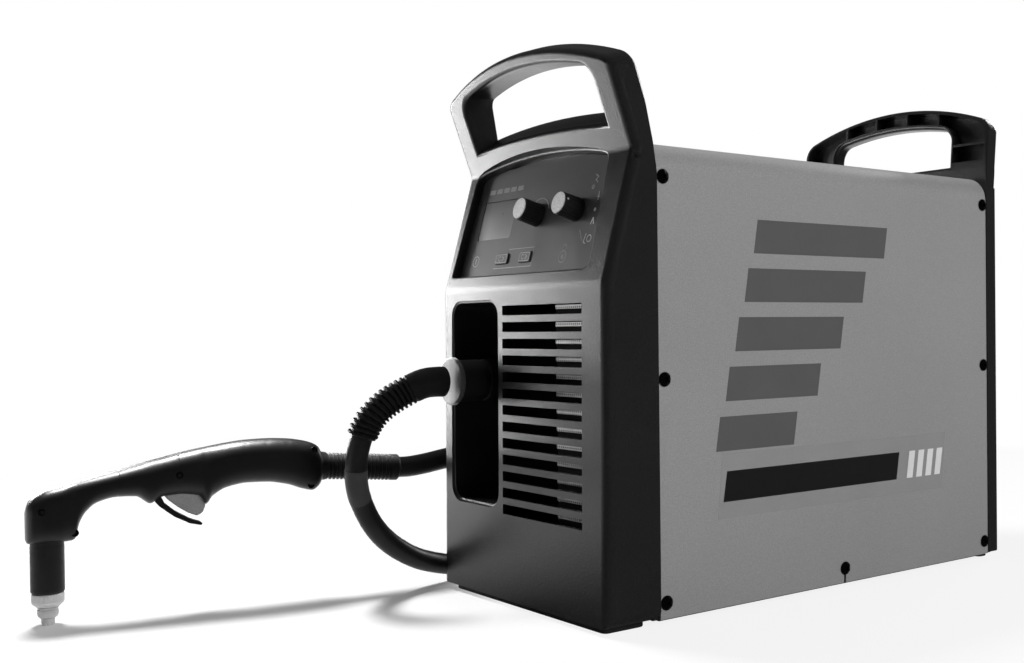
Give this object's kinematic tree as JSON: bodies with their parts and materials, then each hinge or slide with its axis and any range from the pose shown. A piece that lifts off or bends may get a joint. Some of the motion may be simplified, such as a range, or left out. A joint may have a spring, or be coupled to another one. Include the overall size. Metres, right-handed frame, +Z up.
{
  "type": "plasma cutter power unit",
  "caption": "Portable plasma cutter power unit with two carrying handles, a control panel, a vented front and a hand torch on a flexible lead.",
  "frame": {"origin": "middle of the base pan's underside, 4 mm above the surface the feet stand on", "axes": "+Z up, the control panel and torch connector face -Y, +X to the right when looking along +Y"},
  "size_m": [0.5569, 0.8125, 0.4493],
  "materials": {
    "black_moulding": "fine spark-eroded grain",
    "grey_cover": "fine satin powder coat",
    "black_sheet": "powder coat",
    "black_rubber": "matte",
    "panel_overlay": "fine matte film",
    "display_glass": "polished",
    "black_knob": "satin with light cap",
    "circuit_board": "solder mask",
    "zinc_sheet": "zinc plated",
    "black_plastic": "satin",
    "light_plastic": "satin",
    "red_plastic": "gloss",
    "brass": "turned",
    "aluminium_fins": "as extruded",
    "copper_winding": "varnished winding",
    "capacitor_sleeve": "heat-shrunk sleeve",
    "torch_moulding": "fine grain",
    "grey_trigger": "satin",
    "torch_sleeve": "satin",
    "bright_cap": "turned and plated",
    "nozzle_copper": "turned copper",
    "lead_rubber": "satin jacket",
    "black_screw": "black oxide"
  },
  "bodies": {
    "root": {"front_bezel": "black_moulding", "rear_bezel": "black_moulding", "cover": "grey_cover", "base_pan": "black_sheet", "front_foot": "black_rubber", "rear_foot": "black_rubber", "control_overlay": "panel_overlay", "display_window": "display_glass", "control_board": "circuit_board", "grille_screen": "zinc_sheet", "connector_panel": "zinc_sheet", "torch_socket": "black_plastic", "torch_plug": "light_plastic", "work_socket": "black_plastic", "cable_gland": "black_plastic", "gas_inlet": "brass", "switch_body": "black_plastic", "fan_frame": "black_plastic", "centre_panel": "zinc_sheet", "heatsink": "aluminium_fins", "power_board": "circuit_board", "transformer": "copper_winding", "output_inductor": "copper_winding", "capacitor_bank": "capacitor_sleeve", "solenoid_valve": "brass", "air_filter": "black_plastic", "torch_shell_left": "torch_moulding", "torch_shell_right": "torch_moulding", "neck_sleeve": "torch_sleeve", "retaining_cap": "bright_cap", "torch_shield": "bright_cap", "torch_nozzle": "nozzle_copper", "torch_strain_relief": "lead_rubber", "plug_strain_relief": "lead_rubber", "lead_loop": "lead_rubber", "lead_tail": "lead_rubber", "lead_coil": "lead_rubber", "cover_screw_01": "black_screw", "cover_screw_02": "black_screw", "cover_screw_03": "black_screw", "cover_screw_04": "black_screw", "cover_screw_05": "black_screw", "cover_screw_06": "black_screw", "cover_screw_07": "black_screw", "cover_screw_08": "black_screw", "cover_screw_09": "black_screw", "cover_screw_10": "black_screw", "cover_screw_11": "black_screw", "cover_screw_12": "black_screw", "cover_screw_13": "black_screw", "cover_screw_14": "black_screw"},
    "adjustment_knob": {"adjustment_knob": "black_knob"},
    "mode_knob": {"mode_knob": "black_knob"},
    "left_button": {"left_button": "panel_overlay"},
    "right_button": {"right_button": "panel_overlay"},
    "release_button": {"release_button": "red_plastic"},
    "power_switch": {"power_switch": "black_plastic"},
    "fan_rotor": {"fan_rotor": "black_plastic"},
    "torch_trigger": {"torch_trigger": "grey_trigger"},
    "trigger_safety": {"trigger_safety": "black_plastic"}
  },
  "joints": [
    {"name": "adjustment_knob_turn", "type": "hinge", "parent": "root", "child": "adjustment_knob", "pos_m": [-0.0034, -0.21853, 0.31538], "axis": [0, -0.9631, 0.2693], "continuous": true},
    {"name": "mode_knob_turn", "type": "hinge", "parent": "root", "child": "mode_knob", "pos_m": [0.0517, -0.21853, 0.31538], "axis": [0, -0.9631, 0.2693], "range_deg": [-90, 30]},
    {"name": "left_button_push", "type": "slide", "parent": "root", "child": "left_button", "axis": [0, 0.9631, -0.2693], "range_m": [0, 0.001], "stiffness_N_per_m": 400},
    {"name": "right_button_push", "type": "slide", "parent": "root", "child": "right_button", "axis": [0, 0.9631, -0.2693], "range_m": [0, 0.001], "stiffness_N_per_m": 400},
    {"name": "release_button_push", "type": "slide", "parent": "root", "child": "release_button", "axis": [0, 1, 0], "range_m": [0, 0.003], "stiffness_N_per_m": 500},
    {"name": "power_switch_turn", "type": "hinge", "parent": "root", "child": "power_switch", "pos_m": [-0.055, 0.236, 0.3], "axis": [0, 1, 0], "range_deg": [0, 90]},
    {"name": "fan_spin", "type": "hinge", "parent": "root", "child": "fan_rotor", "pos_m": [-0.04, 0.21, 0.15], "axis": [0, 1, 0], "continuous": true},
    {"name": "trigger_pull", "type": "hinge", "parent": "root", "child": "torch_trigger", "pos_m": [-0.18542, -0.45224, 0.093], "axis": [0.9848, -0.1736, 0], "range_deg": [0, 8], "stiffness_Nm_per_rad": 0.6},
    {"name": "safety_swing", "type": "hinge", "parent": "root", "child": "trigger_safety", "pos_m": [-0.18672, -0.45962, 0.0885], "axis": [-0.9848, 0.1736, 0], "range_deg": [0, 35], "stiffness_Nm_per_rad": 0.3}
  ]
}
